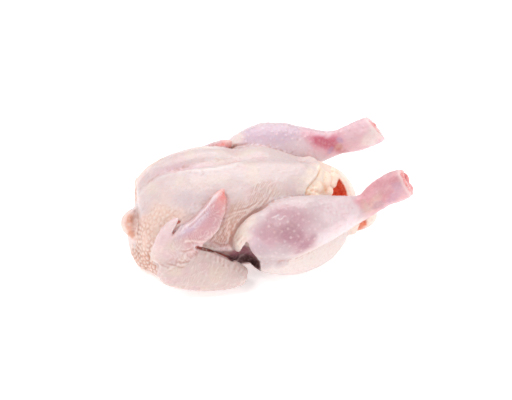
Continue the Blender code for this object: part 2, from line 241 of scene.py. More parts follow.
class Limb:
    """A limb lofted along its bones. It also tells where a point of the skin lies on it."""

    def __init__(self, joints, shape, radius, facing, rings=40, sides=28, thin=0.0):
        self.joints = np.array(joints, float) / 1000
        path = through(self.joints, PATH_STEPS)
        steps = np.linalg.norm(np.diff(path, axis=0), axis=1)
        length = np.concatenate([[0], np.cumsum(steps)])
        table = through(shape, rings)
        self.length = length[-1]
        self.at = table[:, 0] * self.length
        tangent = np.gradient(path, axis=0)
        self.centre = np.stack([np.interp(self.at, length, path[:, k]) for k in range(3)], axis=1)
        self.along = np.stack([np.interp(self.at, length, tangent[:, k]) for k in range(3)], axis=1)
        self.along /= np.linalg.norm(self.along, axis=1)[:, None]
        self.across = np.cross(self.along, np.array(facing, float))
        self.across /= np.linalg.norm(self.across, axis=1)[:, None]
        self.outward = np.cross(self.across, self.along)
        self.wide = table[:, 1] * (radius / 1000)
        self.thick = table[:, 2] * (radius / 1000)
        self.sides = sides
        self.thin = thin

    def rings(self):
        turn = np.linspace(0, 2 * math.pi, self.sides, endpoint=False)
        edge = np.sin(turn) * (1 - self.thin * np.cos(turn))
        wide = np.outer(self.wide, np.cos(turn))[:, :, None] * self.across[:, None, :]
        thick = np.outer(self.thick, edge)[:, :, None] * self.outward[:, None, :]
        return self.centre[:, None, :] + wide + thick

    def place(self, points):
        """For each point: its distance along the limb, its turn around it and its height above its surface."""
        far = (self.centre**2).sum(1)[None, :] - 2 * points @ self.centre.T
        near = far.argmin(1)
        gap = points - self.centre[near]
        a = (gap * self.across[near]).sum(1) / self.wide[near]
        b = (gap * self.outward[near]).sum(1) / self.thick[near]
        s = (gap * self.along[near]).sum(1)
        past = np.maximum(s - END_SLACK, 0) * (near == len(self.at) - 1)
        past = past + np.maximum(-s - END_SLACK, 0) * (near == 0)
        height = (np.hypot(a, b) - 1) * np.sqrt(self.wide[near] * self.thick[near]) + past
        return self.at[near] + s, np.arctan2(b, a), height


def on_side(side, shift, path):
    """A path given on the right side of the bird, or its match on the left with that side's own shift."""
    path = np.array(path, float)
    return path if side == "right" else path * (1, -1, 1) + shift


limbs = {}
for side in SIDES:
    outward = (0, -1 if side == "right" else 1, 0.3)
    for part, (joints, shape, radii, rings) in LEG.items():
        joints = on_side(side, LEFT_LEG_SHIFT, joints)
        if part == "drum":
            joints = np.insert(joints, 3, RIGHT_SHANK, axis=0) if side == "right" else joints + LEFT_DRUM_SHIFTS
        limbs[side, part] = Limb(joints, shape, radii[SIDES.index(side)], outward, rings)

# Wings. Upper arm, forearm, hand and thumb, thin meat on the bone under tough skin, folded at the bird's
# sides with the tips up over the breast. The left wing is the right one laid over and shifted.
LEFT_WING_SHIFT = (20, 5, -7.2)
LEFT_THUMB_DROP = 4
UPPER_ARM = ((0, 1, 1), (0.35, 1.15, 1), (0.7, 0.95, 0.85), (1, 0.5, 0.5))
FOREARM = (
    (0, 0.30, 0.3), (0.1, 0.52, 0.46), (0.4, 0.86, 0.48), (0.78, 1.04, 0.5), (0.93, 0.9, 0.48), (1, 0.6, 0.4),
)
HAND = (
    (0, 0.85, 0.7), (0.2, 0.9, 0.62), (0.35, 0.86, 0.5), (0.47, 0.8, 0.44), (0.62, 0.78, 0.4),
    (0.78, 0.60, 0.32), (0.9, 0.38, 0.24), (0.97, 0.16, 0.12), (1, 0.05, 0.05),
)
THUMB = ((0, 1.6, 1.3), (0.35, 1.05, 1), (0.65, 0.9, 0.85), (0.85, 0.6, 0.6), (1, 0.15, 0.2))
# The joints on the right side, the shape, the radius, how far it faces up and how thin its edge is
WING = {
    "upper_arm": (((-94, -44, 24), (-70, -60, 18), (-21, -75, 14)), UPPER_ARM, 17, 0.3, 0.0),
    "forearm": (((-21, -75, 14), (-58, -75, 24.5), (-94, -68, 35)), FOREARM, 21, 0.4, 0.35),
    "hand": (((-94, -68, 35), (-80, -70.5, 47.5), (-51.8, -64, 65.5), (-34.5, -44, 87.5)), HAND, 14.5, 0.8, 0.55),
    "thumb": (((-94, -68, 35), (-92.5, -69, 50), (-86.5, -65.5, 61), (-75, -61, 70.8)), THUMB, 7, 0.5, 0.2),
}
# Folds on the wings and the body beside them, in the same columns. The tints of the creases are painted shade,
# and the light tint along the hand's leading edge is pale skin with a painted highlight
WING_FOLDS = (
    (2.6, 1.6, 0.5, (222, 186, 192), ((-51, -66.5, 41.5), (-40, -65, 36), (-31, -63.5, 36.5), (-25, -68, 41))),
    (1, -1, 0.6, (196, 140, 126), ((-49, -65, 46), (-40, -63.5, 40.5), (-31, -62, 41))),
    (1.4, 0.9, 0.7, (238, 228, 238), (
        (-81, -72, 59), (-68, -66.5, 70), (-54, -60, 78), (-45, -53.5, 82), (-37, -47, 85.5),
    )),
    (3, -1, 0.5, (216, 160, 170), ((-62.5, -68, 57), (-54, -66, 66), (-46, -60, 74), (-40, -53, 80))),
    (0.9, 0.3, 0.3, (240, 218, 208), (
        (-36.5, -59.5, 66), (-29.5, -57.5, 68), (-21, -56.5, 69), (-11.5, -56, 68.5),
    )),
    (1, 0.5, 0.4, (238, 212, 198), (
        (-77.3, -76.1, 53.8), (-72, -75.8, 55.6), (-66.9, -75.9, 55.2), (-60.9, -76.3, 53.4), (-55.5, -75, 53),
    )),
    (0.9, -0.4, 0.4, (206, 148, 134), (
        (-80.1, -77.1, 49.1), (-75, -77.5, 46.8), (-69.9, -77.7, 47.4), (-64.5, -76.5, 46.1),
    )),
    (0.8, -0.4, 0.35, (210, 160, 148), (
        (-82.3, -78.2, 38.7), (-78.2, -79.9, 36.9), (-72.9, -79.3, 36.5), (-69.2, -78.3, 38.5),
    )),
    (0.8, -0.4, 0.35, (210, 160, 148), (
        (-91.9, -78.5, 36.8), (-86.1, -80.3, 35.4), (-79.3, -81.4, 33.3), (-72.4, -81.6, 33.3),
    )),
    (0.8, -0.3, 0.3, (210, 160, 148), ((-98.4, -74.8, 36.2), (-93.7, -78.9, 34.7), (-88, -81.3, 33.1))),
    (0.9, 0.3, 0.3, (240, 214, 202), ((-35.5, -62, 60), (-32.5, -59.5, 65), (-25, -58, 67), (-16.5, -58, 66))),
    (0.9, 0.4, 0.3, (240, 210, 198), ((-34.5, -63.5, 49.5), (-35, -62.5, 57), (-33.5, -60, 63.5))),
    (1, -0.9, 0.5, (206, 150, 130), ((-31.5, -63.5, 48), (-31.5, -62.5, 55), (-30, -60, 62))),
    (1, -0.9, 0.5, (206, 150, 130), ((-38.5, -64, 47), (-39, -63, 52), (-38, -61, 58))),
)
for side, sign in zip(SIDES, (-1, 1)):
    for part, (joints, shape, radius, rise, thin) in WING.items():
        joints = on_side(side, LEFT_WING_SHIFT, joints)
        if part == "thumb" and side == "left":
            joints[2:, 2] -= LEFT_THUMB_DROP
        limbs[side, part] = Limb(joints, shape, radius, (0, sign, rise), thin=-sign * thin)

# Neck flap and tail. The loose end of the neck skin lies against the front of the breast, and the fatty
# tail sticks out below the vent. Both are soft skin, lofted and run into the trunk.
NECK_SKIN = ((-110.5, -11, 54.5), (-117.8, -15, 41), (-113.5, -23.5, 27.5))
NECK_SKIN_SHAPE = ((0, 0.1, 0.3), (0.25, 0.5, 0.75), (0.5, 1, 1.0), (0.75, 0.6, 0.75), (1, 0.15, 0.3))
TAIL = ((66, 0, 22), (92, -3, 19.5), (111, -4, 25.5))
TAIL_SHAPE = ((0, 1.3, 1), (0.4, 1.2, 0.8), (0.75, 0.92, 0.6), (0.93, 0.7, 0.45), (1, 0.4, 0.25))
# The neck flap's crease is tinted dark brown, which is painted shade, and the tail's curl is tinted orange
FLAP_CREASE = (
    1.5, -1.4, 0.9, (160, 98, 66),
    ((-113.6, -16, 53), (-112.8, -24, 49), (-114, -29, 43), (-116.5, -28.5, 35)),
)
TAIL_CURL = (
    2.6, -3, 0.9, (226, 120, 82),
    ((95.8, -13.5, 29), (96.8, -15, 24), (95.5, -17.5, 19), (92.5, -19, 15)),
)
limbs["neck", "flap"] = Limb(NECK_SKIN, NECK_SKIN_SHAPE, 7.2, (-1, 0, 0), 20)
limbs["tail", "tail"] = Limb(TAIL, TAIL_SHAPE, 16, (0, 0, 1), 20)

# Body cavity and gaps. The emptied belly opens between the legs. Narrow gaps part the thumb, the hand, the
# forearm and the knee from what they lie against. All of them are cut out of the fused forms.
CAVITY = ((76.8, -30, 80.5), (69, -20, 64.5), (65, -16, 46), (44, -4, 38), (10, 0, 38))
CAVITY_SHAPE = (
    (0, 0.86, 0.46), (0.18, 0.86, 0.48), (0.4, 0.9, 0.78), (0.6, 0.96, 0.88), (0.88, 0.9, 0.88), (1, 0.3, 0.3),
)
# Path, shape and radius of each gap
GAPS = (
    # above the forearm, opening towards the elbow
    (
        ((-66, -75, 48.5), (-57, -71.5, 43.5), (-40, -70, 34), (-20, -73, 23.5)),
        ((0, 0.09, 0.6), (0.15, 0.12, 0.9), (0.5, 0.14, 1.1), (1, 0.24, 1.1)),
        12,
    ),
    # between the thumb and the hand
    (
        ((-85.5, -71.5, 58.8), (-81.5, -69, 62.8), (-77.8, -65, 66), (-73.5, -59, 69.8)),
        ((0, 0.11, 0.7), (0.3, 0.15, 1), (0.7, 0.24, 1.2), (1, 0.38, 1.3)),
        10,
    ),
    # behind the back edge of the hand
    (
        ((-52, -64, 45), (-44.5, -62, 53.5), (-38, -58, 64), (-33, -50, 77)),
        ((0, 0.11, 0.7), (0.5, 0.11, 0.8), (1, 0.1, 0.6)),
        9,
    ),
    # the pocket between the knee, the thigh and the body
    (
        ((-19.5, -73, 49.5), (-20.3, -72, 42), (-19.5, -71.5, 33), (-18, -69, 24), (-18.5, -66, 12)),
        ((0, 0.05, 0.5), (0.25, 0.34, 0.9), (0.5, 0.72, 1.1), (0.75, 0.92, 1.1), (1, 0.92, 1.1)),
        12.5,
    ),
)
GAP_FACING = (0.1, -0.85, 0.52)
cavity = Limb(CAVITY, CAVITY_SHAPE, 19, (1, 0, 0.3))
gaps = [Limb(*gap, GAP_FACING, 24, 16) for gap in GAPS]

# Hock ends, vent fat and tail lobes. The cut joint at the end of each leg shows wet knuckles, and soft
# fat swells out round the vent. They are rounded lumps, run into the skin.
CUTTER_RADIUS, CUTTER_LENGTH = 24, 30
# How far back from the end of the limb each hock is cut, in metres, and which way the cut faces
HOCK_CUTS = {"right": (0.0006, (0.860, -0.135, 0.490)), "left": (0.0040, (0.792, 0.077, 0.622))}
# Knuckles: out from the cut, up, towards the near side, and size
KNUCKLES = {
    "right": (
        (2.6, 5.6, 0.5, 4.8), (1.4, -4.4, -2, 5.2), (0.2, -6, 3.5, 3.6), (1, 1.2, -4, 4.4), (0.2, 1.5, 4.5, 3),
    ),
    "left": (
        (1.4, 5.4, 0.5, 4.4), (-0.6, -3.6, -2, 4.6), (-0.2, 0.8, -4.6, 3.6), (0.2, 2, 4.6, 3.4),
    ),
}
LUMP = ((0, 0.3, 0.3), (0.15, 0.8, 0.8), (0.5, 1, 1), (0.85, 0.8, 0.8), (1, 0.3, 0.3))
# Lumps: from, to, and size
VENT_FAT = (
    ((57, -9, 79.8), (51.8, -24, 75.8), 2.6),
    ((53, -24, 73.8), (48.5, -35, 68), 4.6),
    ((62.5, -4.5, 71.5), (56.5, -26.5, 67.2), 6),
    ((72, 0, 66), (65, -18.5, 63.7), 4.8),
    ((63, -21.5, 65), (60, -30, 61), 4.2),
    ((69, 6, 66.8), (76.5, 0, 63.5), 4.4),
    ((40, -38.5, 70.2), (40, -37.5, 75.4), 2.7),
    ((43.4, -35, 71.6), (43, -34, 76.4), 2.5),
    ((44.7, -39.5, 68), (44.3, -38, 72.8), 2.7),
    ((47, -35.5, 69.8), (46.6, -34, 74.8), 2.6),
    ((48.5, -40, 65.5), (48, -38.5, 70.5), 2.8),
)
TAIL_LOBES = (
    ((84.5, -20.5, 31), (85.5, -21.5, 13.5), 6.2),
    ((100.5, -11, 31), (106.5, -12.5, 24), 5),
    ((105, -14, 25), (97.5, -17.5, 17.5), 3.4),
)


def lump(one, two, size):
    """A rounded lump from one spot to another."""
    return Limb((one, two), LUMP, size, (0.3, -0.5, 0.8), 12, 14)


cuts = {}
lumps = {"vent_fat": [lump(*row) for row in VENT_FAT], "tail": [lump(*row) for row in TAIL_LOBES]}
for side, (back_off, way) in HOCK_CUTS.items():
    joints = limbs[side, "drum"].joints
    along = joints[-1] - joints[-2]
    centre = joints[-1] - back_off * along / np.linalg.norm(along)
    way = np.array(way) / np.linalg.norm(way)
    up = np.array((0, 0, 1)) - way[2] * way
    up /= np.linalg.norm(up)
    near = np.cross(up, way)
    cuts[side] = (centre, way, up, near)
    lumps[side + "_hock_end"] = [
        lump(
            centre * 1000 - 6 * way + 0.9 * rise * up + 0.9 * nearer * near,
            centre * 1000 + out * way + rise * up + nearer * near,
            size,
        )
        for out, rise, nearer, size in KNUCKLES[side]
    ]

# Skin. One moist, plucked skin covers all of these forms. They are fused and smoothed, the openings are
# cut, the lumps are run in, and the whole is skinned once more with a finer mesh.
FORM_VOXEL, SKIN_VOXEL = 0.0015, 0.00105
scene = bpy.context.scene


def closed_skin(rings):
    """A closed mesh through rings of points."""
    mesh = bmesh.new()
    rows = [[mesh.verts.new(p) for p in ring] for ring in rings]
    for one, two in zip(rows, rows[1:]):
        for k in range(len(one)):
            mesh.faces.new((one[k - 1], two[k - 1], two[k], one[k]))
    for row in (rows[0], rows[-1]):
        mesh.faces.new(row)
    bmesh.ops.triangulate(mesh, faces=[f for f in mesh.faces if len(f.verts) > 4])
    bmesh.ops.recalc_face_normals(mesh, faces=mesh.faces)
    return mesh


def object_of(name, pieces):
    """One object that holds each piece's closed skin."""
    whole = bmesh.new()
    spare = bpy.data.meshes.new("spare")
    for rings in pieces:
        piece = closed_skin(rings)
        piece.to_mesh(spare)
        piece.free()
        whole.from_mesh(spare)
    bpy.data.meshes.remove(spare)
    mesh = bpy.data.meshes.new(name)
    whole.to_mesh(mesh)
    whole.free()
    made = bpy.data.objects.new(name, mesh)
    scene.collection.objects.link(made)
    return made


def shaped(made, *steps):
    """Runs modifiers on an object and keeps the mesh they make."""
    for kind, settings in steps:
        modifier = made.modifiers.new(kind.lower(), kind)
        for name, value in settings.items():
            setattr(modifier, name, value)
    bpy.context.view_layer.update()
    mesh = bpy.data.meshes.new_from_object(made.evaluated_get(bpy.context.evaluated_depsgraph_get()))
    made.modifiers.clear()
    made.data = mesh


def fused(made, voxel, smoothing):
    """Fuses all that an object holds under one even skin of small squares, and smooths it."""
    smooth = ("SMOOTH", {"factor": 0.5, "iterations": smoothing})
    shaped(made, ("REMESH", {"mode": "VOXEL", "voxel_size": voxel}), smooth)


limbs = {key: limbs[key] for key in sorted(limbs, key=lambda key: (*SIDES, "neck", "tail").index(key[0]))}
breast = trunk(BREAST, TRUNK_START, TRUNK_LENGTH, TRUNK_HALF_WIDTH, BREAST_HEIGHT, as_it_lies)
belly = trunk(BELLY, BELLY_START, BELLY_LENGTH, BELLY_HALF_WIDTH, BELLY_HEIGHT)
skin = object_of("skin", [breast, belly, *(limb.rings() for limb in limbs.values())])
fused(skin, FORM_VOXEL, 5)
cutters = [cavity, *gaps]
for centre, way, up, _ in cuts.values():
    ends = np.array((centre, centre + CUTTER_LENGTH / 1000 * way)) * 1000
    cutters.append(Limb(ends, ((0, 1, 1), (1, 1, 1)), CUTTER_RADIUS, up, 3, 24))
for opening in cutters:
    cutter = object_of("cutter", [opening.rings()])
    shaped(skin, ("BOOLEAN", {"operation": "DIFFERENCE", "solver": "EXACT", "object": cutter}))
    bpy.data.objects.remove(cutter)
elbows = [limbs[side, "forearm"].rings()[:11] for side in SIDES]
added = object_of("lumps", elbows + [one.rings() for kind in lumps.values() for one in kind])
whole = bmesh.new()
whole.from_mesh(skin.data)
whole.from_mesh(added.data)
whole.to_mesh(skin.data)
whole.free()
bpy.data.objects.remove(added)
fused(skin, SKIN_VOXEL, 3)


def numbers(mesh, what):
    """A mesh's vertex positions or normals as rows of three numbers."""
    held = np.empty(len(mesh.vertices) * 3, np.float32)
    mesh.vertices.foreach_get(what, held)
    return held.reshape(-1, 3).astype(float)


points = numbers(skin.data, "co")
x, y, z = points.T
middle = np.append((points[:, :2].min(0) + points[:, :2].max(0)) / 2, 0)
normals = numbers(skin.data, "normal")
quads = np.empty(len(skin.data.loops), np.int32)
skin.data.loops.foreach_get("vertex_index", quads)
quads = quads.reshape(-1, 4)
edges = np.concatenate([quads[:, [0, 1]], quads[:, [1, 2]], quads[:, [2, 3]], quads[:, [3, 0]]])
edges = np.unique(np.sort(edges, axis=1), axis=0)
valence = np.bincount(edges.ravel(), minlength=len(points))
LATTICE = 64
lattice = np.random.default_rng(7).uniform(-1, 1, (LATTICE, LATTICE, LATTICE))


def noise(size, seed, at=points):
    """Smooth noise from -1 to 1, with features of the given size in metres, at the points of the skin."""
    at = at / size + seed * 13.7
    cell = np.floor(at).astype(int)
    part = at - cell
    part = part * part * (3 - 2 * part)
    total = 0
    for corner in np.ndindex(2, 2, 2):
        weight = np.abs(1 - np.array(corner) - part)
        value = lattice[tuple(((cell + corner) % LATTICE).T)]
        total = total + weight[:, 0] * weight[:, 1] * weight[:, 2] * value
    return total


def mottled(size, seed, low, high):
    """Soft, uneven spots on the skin: 1 in their middles and 0 between them."""
    return ease(noise(size, seed), low, high)


def settle():
    """Lays the moved points back into the skin and reads its new normals."""
    skin.data.vertices.foreach_set("co", points.astype(np.float32).ravel())
    skin.data.update()
    normals[:] = numbers(skin.data, "normal")


def hollows(rounds):
    """How far each point lies under the skin around it, in metres. It is negative on a ridge."""
    mean = points
    for _ in range(rounds):
        total = [np.bincount(edges.ravel(), mean[edges[:, ::-1].ravel(), k], len(points)) for k in range(3)]
        mean = np.stack(total, axis=1) / valence[:, None]
    return ((mean - points) * normals).sum(1)


def wrinkles(size, stretch, way, seed):
    """Fine wrinkles that run one way: 1 on their crests and 0 between them."""
    way = np.array(way, float) / np.linalg.norm(way)
    bent = points + 0.3 * size * np.stack([noise(size * 3, seed + k) for k in (1, 2, 3)], axis=1)
    run = bent @ way
    bent = bent - (1 - 1 / stretch) * run[:, None] * way
    return np.clip(1 - 2.2 * np.abs(noise(size, seed, bent)), 0, 1) ** 1.5


def beside(path, reach, count=48):
    """The points near a path: which they are, how far across and how far along it they lie, and how far off."""
    line = through(np.array(path) / 1000, count)
    close = np.nonzero(((points > line.min(0) - reach) & (points < line.max(0) + reach)).all(1))[0]
    gap = points[close][:, None, :] - line
    near = (gap**2).sum(2).argmin(1)
    gap = gap[np.arange(len(close)), near]
    way = np.gradient(line, axis=0)[near]
    way /= np.linalg.norm(way, axis=1)[:, None]
    across = (gap * np.cross(way, normals[close])).sum(1)
    return close, across, near / (count - 1), np.linalg.norm(gap, axis=1)


def fold(path, width, height, lip=0.0, ends=0.25, waver=0.4):
    """Raises a fold of skin along a path, or presses a crease if height is negative. Returns where it lies."""
    width, height, waver = width / 1000, height / 1000, waver / 1000
    close, across, share, off = beside(path, 5 * width + 0.001)
    across = across + waver * noise(0.004, 5, points[close])
    fade = ease(share, 0, ends) * ease(1 - share, 0, ends) * (1 - ease(off, 3 * width, 5 * width))
    form = bell(across, width) - lip * bell(np.abs(across) - 2.1 * width, width)
    points[close] += normals[close] * (height * fade * form)[:, None]
    where = np.zeros(len(points))
    where[close] = fade * bell(across, 1.2 * width)
    return where


def patch(size, places, seed, ragged=0.35):
    """A soft, ragged patch round some places: 1 within it and 0 outside."""
    size = size / 1000
    off = np.min([np.linalg.norm(points - np.array(spot) / 1000, axis=1) for spot in places], axis=0)
    return 1 - ease(off / size + ragged * noise(size * 0.7, seed), 0.35, 1.15)


# Where each limb and each lump lies on the skin: how far off it a point is searched for, and between which
# heights over its surface a point stops to be part of it, in metres
NEAR_LIMB, OFF_LIMB = 0.008, (0.0012, 0.0045)
NEAR_LUMP, OFF_LUMP = 0.006, (0.0003, 0.0016)
place, on, lumpy = {}, {}, {}
for key, limb in limbs.items():
    low, high = limb.rings().min((0, 1)) - NEAR_LIMB, limb.rings().max((0, 1)) + NEAR_LIMB
    held = ((points > low) & (points < high)).all(1)
    place[key] = np.zeros((3, len(points)))
    place[key][2] = 1.0
    place[key][:, held] = limb.place(points[held])
    on[key] = 1 - ease(place[key][2], *OFF_LIMB)
for name, kind in lumps.items():
    low = np.min([one.rings().min((0, 1)) for one in kind], axis=0) - NEAR_LUMP
    high = np.max([one.rings().max((0, 1)) for one in kind], axis=0) + NEAR_LUMP
    held = ((points > low) & (points < high)).all(1)
    lumpy[name] = np.zeros(len(points))
    lumpy[name][held] = np.max([1 - ease(one.place(points[held])[2], *OFF_LUMP) for one in kind], axis=0)
inside = (1 - ease(cavity.place(points)[2], -0.0004, 0.0014)) * (1 - lumpy["vent_fat"])
outside = 1 - inside

# Large relief of the skin: soft unevenness, the keel, and the folds and creases where the legs, the wings
# and the neck flap press against the trunk
points += normals * (0.0007 * noise(0.022, 1) + 0.0004 * noise(0.011, 2))[:, None]
settle()
groove = fold(KEEL_GROOVE, 4.8, -1.3)
keel_highlight = fold(KEEL, 3.6, 1.0, ends=0.3, waver=0.8)
folded = []
for side in SIDES:
    for shift, folds in ((LEFT_WING_SHIFT, WING_FOLDS), (LEFT_LEG_SHIFT, LEG_FOLDS)):
        for width, height, amount, levels, path in folds:
            folded.append((amount * fold(on_side(side, shift, path), width, height, lip=0.25), levels))
for width, height, amount, levels, path in (FLAP_CREASE, TAIL_CURL):
    folded.append((amount * fold(path, width, height, lip=0.3), levels))
settle()

# The edge of the breast's skin over the vent is crisp, and lifted above the fat behind it
close, across, share, off = beside(SKIN_EDGE, 0.012, 90)
across = across + 0.0008 * noise(0.006, 9, points[close])
over = ease(across, -0.0005, 0.0005)
lift = 0.0014 * over * np.exp(-np.maximum(across, 0) / 0.005)
lift -= 0.0011 * (1 - over) * np.exp(np.minimum(across, 0) / 0.006)
ends = ease(share, 0.15, 0.35) * ease(1 - share, 0, 0.12)
points[close] += normals[close] * (lift * ends * (1 - ease(off, 0.008, 0.012)))[:, None]
# Masks for a painted highlight along the lifted edge and a painted shadow just under it
edge, shadow = np.zeros((2, len(points)))
edge[close] = ends * bell(across - 0.0008, 0.0009) * (1 - ease(off, 0.002, 0.004))
shadow[close] = ends * bell(across + 0.0012, 0.0013) * (1 - ease(off, 0.002, 0.005))
settle()


def follicles(where, spacing, seed):
    """Centres of follicles, spread evenly over the points where a mask is set and at least spacing apart."""
    order = np.random.default_rng(seed).permutation(np.nonzero(where)[0])
    tree = kdtree.KDTree(len(order))
    for at, i in enumerate(order):
        tree.insert(points[i], at)
    tree.balance()
    free = np.ones(len(order), bool)
    centres = []
    for at, i in enumerate(order):
        if free[at]:
            centres.append(points[i])
            for _, other, _ in tree.find_range(points[i], spacing):
                free[other] = False
    return np.array(centres)


def nearest(where, centres):
    """For the points where a mask is set: the way to the nearest centre, and how far it and the next one are."""
    tree = kdtree.KDTree(len(centres))
    for at, centre in enumerate(centres):
        tree.insert(centre, at)
    tree.balance()
    chosen = np.nonzero(where)[0]
    found = [tree.find_n(points[i], 2) for i in chosen]
    which = np.array([one[0][1] for one in found])
    first, second = np.array([[one[0][2], one[1][2]] for one in found]).T
    return chosen, centres[which] - points[chosen], first, second, which


# Fine relief of the skin: strands drawn from the knees up over the breast, a crinkle all over, cobbles on
# the shoulders, and the pimples that the feathers leave
shoulder, drawn = np.zeros((2, len(points)))
for side, seed in zip(SIDES, (3, 4)):
    shoulder = np.maximum(shoulder, patch(27, on_side(side, (0, 0, 0), SHOULDER), seed))
    drawn = np.maximum(drawn, patch(16, on_side(side, (0, 0, 0), DRAWN), 8))
limb_near = np.max([on[key] for key in limbs if key[1] != "upper_arm"], axis=0)
bare = 1 - limb_near
drums = np.maximum(on["right", "drum"], on["left", "drum"])
wings = np.max([on[side, part] for side in SIDES for part in ("forearm", "hand", "thumb")], axis=0)

strands = [wrinkles(0.0032, 4.0, (-0.55, aside, -0.45), seed) for aside, seed in ((-0.68, 61), (0.68, 62))]
strands = np.where(y < 0, *strands)
upright = wrinkles(0.0036, 3.5, (0.15, 0.1, 1.0), 63)
pulled = drawn * bare
upright_mask = pulled * upright * ease(-x, 0.02, 0.034)
points += normals * (0.00034 * (pulled * strands) + 0.00030 * upright_mask - 0.00012 * drawn * bare)[:, None]
crinkle = wrinkles(0.0044, 2.4, (0.7, 0.25, 0.5), 64)
finer = wrinkles(0.0027, 2.0, (0.8, 0.2, 0.4), 68)
calm = (1 - 0.65 * bare * ease(z, 0.074, 0.084)) * outside
points += normals * ((0.00020 * crinkle + 0.00014 * finer) * calm)[:, None]
settle()

COBBLE_SPACING, COBBLE_HEIGHT = 0.0037, 0.0015
cobbled = (shoulder > 0.12) & (limb_near < 0.15) & (inside < 0.1)
dotted = (drums > 0.5) & (inside < 0.1)
plain = ~cobbled & ~dotted & (wings < 0.3) & (inside < 0.1) & (z > 0.004) & (lumpy["vent_fat"] < 0.2)
chosen, _, first, second, _ = nearest(cobbled, follicles(cobbled, COBBLE_SPACING, 11))
cell = ease(second - first, -0.0002, 0.0034)
low_down = ease(0.058 - points[chosen, 2], 0, 0.022) * ease(-points[chosen, 0], 0.086, 0.104)
depth = ease(shoulder[chosen], 0.12, 1.1) * (0.2 + 0.8 * low_down)
depth = depth * ease(noise(0.010, 15, points[chosen]), -1.0, 0.3)
points[chosen] += normals[chosen] * (COBBLE_HEIGHT * (cell - 0.5) * depth)[:, None]
tan = np.zeros(len(points))
tan[chosen] = (1 - cell) * depth


def srgb(*levels):
    """A colour as a shader needs it, from the 0 to 255 levels that it has on a screen."""
    return tuple((v / 255 / 12.92) if v < 11 else ((v / 255 + 0.055) / 1.055) ** 2.4 for v in levels)


# Where, spacing, radius, height, seed, tint and its strength
PIMPLES = (
    (dotted, 0.0054, 0.00105, 0.00026, 12, (236, 218, 218), 0.30),
    (plain, 0.0034, 0.00050, 0.00012, 13, (212, 172, 148), 0.50),
)
follicle, dot_colours = np.zeros((2, len(points), 4))
for where, spacing, radius, height, seed, levels, strength in PIMPLES:
    centres = follicles(where, spacing, seed)
    chosen, way, first, _, which = nearest(where, centres)
    vary = np.random.default_rng(seed).uniform(0.35, 1.0, len(centres))[which]
    bump = bell(first, radius)
    points[chosen] += normals[chosen] * (height * (0.5 + vary) * bump)[:, None]
    follicle[chosen, :3] = way * 1000
    follicle[chosen, 3] = (first < 0.42 * spacing) * radius * (0.8 + 0.4 * vary) * 1000
    dot_colours[chosen, :3] = srgb(*levels)
    dot_colours[chosen, 3] = strength * vary
shank = np.maximum(*(on[side, "drum"] * ease(place[side, "drum"][0], 0.085, 0.102) for side in SIDES))
dot_colours[:, 3] *= (1 - shank) * (1 - 0.85 * on["left", "drum"] * ease(x, 0.045, 0.058))

# The grain of fine lines in the skin: its phase and its depth. Lines run with the strands and along the
# hands and thumbs, and the forearms have wrinkles and diagonal ridges.
GRAIN_LINES = (("hand", 2.2, 1.2, 0.75), ("thumb", 2.0, 0.6, 0.25))
grain_phase, grain_depth, crease_shade = np.zeros((3, len(points)))


def grained(where, phase, depth):
    """Lays lines of a phase and a depth where a mask is set."""
    grain_phase[where] = phase[where]
    grain_depth[where] = depth[where]


for sign in (-1, 1):
    across = np.cross((-0.55, sign * 0.68, -0.45), (0, sign * 0.7, 0.7))
    across /= np.linalg.norm(across)
    mask = drawn * bare * (y * sign > 0)
    phase = points @ across * 1000 / 1.7 + 1.3 * noise(0.014, 75) + 0.4 * noise(0.004, 76)
    grained(mask > 0.05, phase, mask * 0.9 * mottled(0.006, 77, -0.6, 0.3))
for side, turn_up in zip(SIDES, (1, -1)):
    for part, pitch, slant, depth in GRAIN_LINES:
        along, turn, _ = place[side, part]
        mask = on[side, part]
        phase = along * 1000 / pitch + slant * np.cos(turn) * turn_up
        phase = phase + 1.6 * noise(0.007, 71) + 0.7 * noise(0.0028, 72)
        grained(mask > 0.5, phase, depth * mask * mottled(0.006, 73, -0.5, 0.4))
    along, turn, _ = place[side, "forearm"]
    up = np.cos(turn) * turn_up
    arm = on[side, "forearm"]
    rows = np.abs(np.sin(along * math.pi / 0.0048 + 1.2 * up + 2.4 * noise(0.009, 6))) ** 1.5
    ridged = ease(up, 0.1, 0.8) * ease(0.9 - along / limbs[side, "forearm"].length, 0, 0.3)
    ridged = ridged * mottled(0.0055, 78, -0.7, 0.4)
    bottom = bell(up + 1, 0.25)
    points += normals * (arm * (0.00042 * rows * ridged + 0.0003 * rows * bottom))[:, None]
    net = wrinkles(0.0026, 2.4, (0.9, 0.0, 0.35), 65)
    arm = np.maximum(arm, on[side, "hand"] * (1 - ease(place[side, "hand"][0], 0.020, 0.034)))
    points += normals * (0.00012 * arm * net)[:, None]
    crease_shade = np.maximum(crease_shade, arm * np.maximum(0.14 * (1 - net), (1 - rows) * ridged * 0.6))
    phase = along * 1000 / 1.9 + 2.2 * up + 1.0 * noise(0.008, 79) + 0.5 * noise(0.003, 80)
    rough = (arm > 0.5) & (on[side, "hand"] < 0.5)
    grained(rough, phase, 0.55 * arm * mottled(0.0065, 81, -0.3, 0.5))
    along, turn, _ = place[side, "hand"]
    back_edge = bell(np.cos(turn) * turn_up - 1, 0.3) * on[side, "hand"]
    teeth = mottled(0.0030, 74, -0.2, 0.8)
    points += normals * (0.0008 * back_edge * teeth * ease(0.078 - along, 0, 0.02))[:, None]
points += normals * (0.00020 * noise(0.0042, 3) + 0.00010 * noise(0.0022, 4))[:, None]
z[:] = np.maximum(z, 0)
settle()
fine_hollow, wide_hollow = hollows(2), hollows(14)

